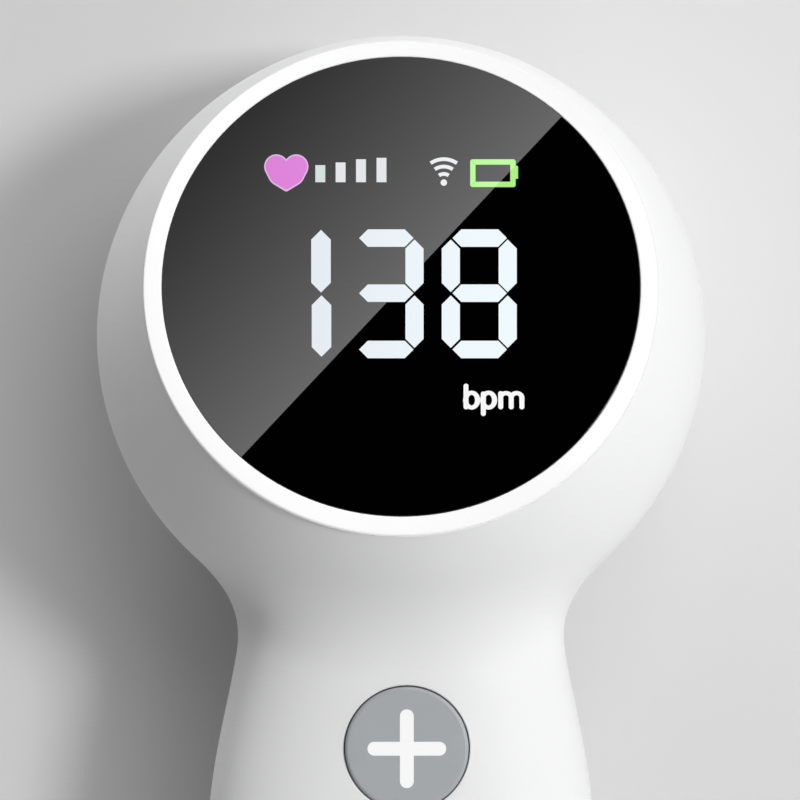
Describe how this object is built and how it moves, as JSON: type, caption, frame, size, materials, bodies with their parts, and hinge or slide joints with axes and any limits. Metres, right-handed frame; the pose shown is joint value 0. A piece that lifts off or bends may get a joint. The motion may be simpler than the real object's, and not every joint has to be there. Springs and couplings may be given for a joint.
{
  "type": "fetal doppler",
  "caption": "Handheld fetal doppler: round display head on a short neck, flared grip with press keys, probe face on the back.",
  "frame": {"origin": "centre of the probe face, on its outer surface", "axes": "+Z from the probe face up through the display, +Y away from the grip, +X to the right of someone who reads the display"},
  "size_m": [0.0638, 0.1467, 0.041],
  "materials": {
    "white_shell": "fine satin texture",
    "white_ring": "polished",
    "black_glass": "polished, opaque black with lit signs",
    "grey_key": "satin",
    "white_plastic": "satin",
    "black_plastic": "matte",
    "grey_foam": "closed-cell foam",
    "soft_grey": "soft touch",
    "probe_window": "smooth acoustic window",
    "ceramic": "silvered ceramic",
    "circuit_board": "solder mask",
    "ribbon": "polyimide film",
    "tin_shield": "tinned sheet",
    "battery_foil": "laminated foil pouch",
    "lead_jacket": "cable jacket",
    "steel": "nickel plated"
  },
  "bodies": {
    "housing": {"front_shell": "white_shell", "rear_shell": "white_shell", "bezel_ring": "white_ring", "display_glass": "black_glass", "display_gasket": "grey_foam", "display_module": "black_plastic", "display_frame": "black_plastic", "display_board": "circuit_board", "display_ribbon": "ribbon", "ribbon_connector": "white_plastic", "probe_lens": "probe_window", "probe_ring": "soft_grey", "probe_seal": "grey_foam", "transducer_cup": "black_plastic", "transmit_crystal": "ceramic", "receive_crystal": "ceramic", "absorber": "grey_foam", "probe_lead": "lead_jacket", "plus_switch": "steel", "power_switch": "steel", "minus_switch": "steel", "main_board": "circuit_board", "wireless_module": "tin_shield", "processor": "black_plastic", "battery_connector": "white_plastic", "battery_tape": "grey_foam", "battery": "battery_foil", "speaker": "steel", "speaker_gasket": "grey_foam", "charging_socket": "steel", "earphone_jack": "black_plastic", "housing_screw_1": "steel", "housing_screw_2": "steel", "housing_screw_3": "steel", "housing_screw_4": "steel", "housing_screw_5": "steel", "housing_screw_6": "steel"},
    "plus_button": {"plus_key": "grey_key", "plus_sign": "white_plastic", "plus_stem": "black_plastic"},
    "power_button": {"power_key": "grey_key", "power_sign": "white_plastic", "power_stem": "black_plastic"},
    "minus_button": {"minus_key": "grey_key", "minus_sign": "white_plastic", "minus_stem": "black_plastic"}
  },
  "joints": [
    {"name": "plus_press", "type": "slide", "parent": "housing", "child": "plus_button", "axis": [0, 0, -1], "range_m": [0, 0.0005], "stiffness_N_per_m": 600, "springref_m": -0.002},
    {"name": "power_press", "type": "slide", "parent": "housing", "child": "power_button", "axis": [0, 0, -1], "range_m": [0, 0.0005], "stiffness_N_per_m": 600, "springref_m": -0.002},
    {"name": "minus_press", "type": "slide", "parent": "housing", "child": "minus_button", "axis": [0, 0, -1], "range_m": [0, 0.0005], "stiffness_N_per_m": 600, "springref_m": -0.002}
  ]
}
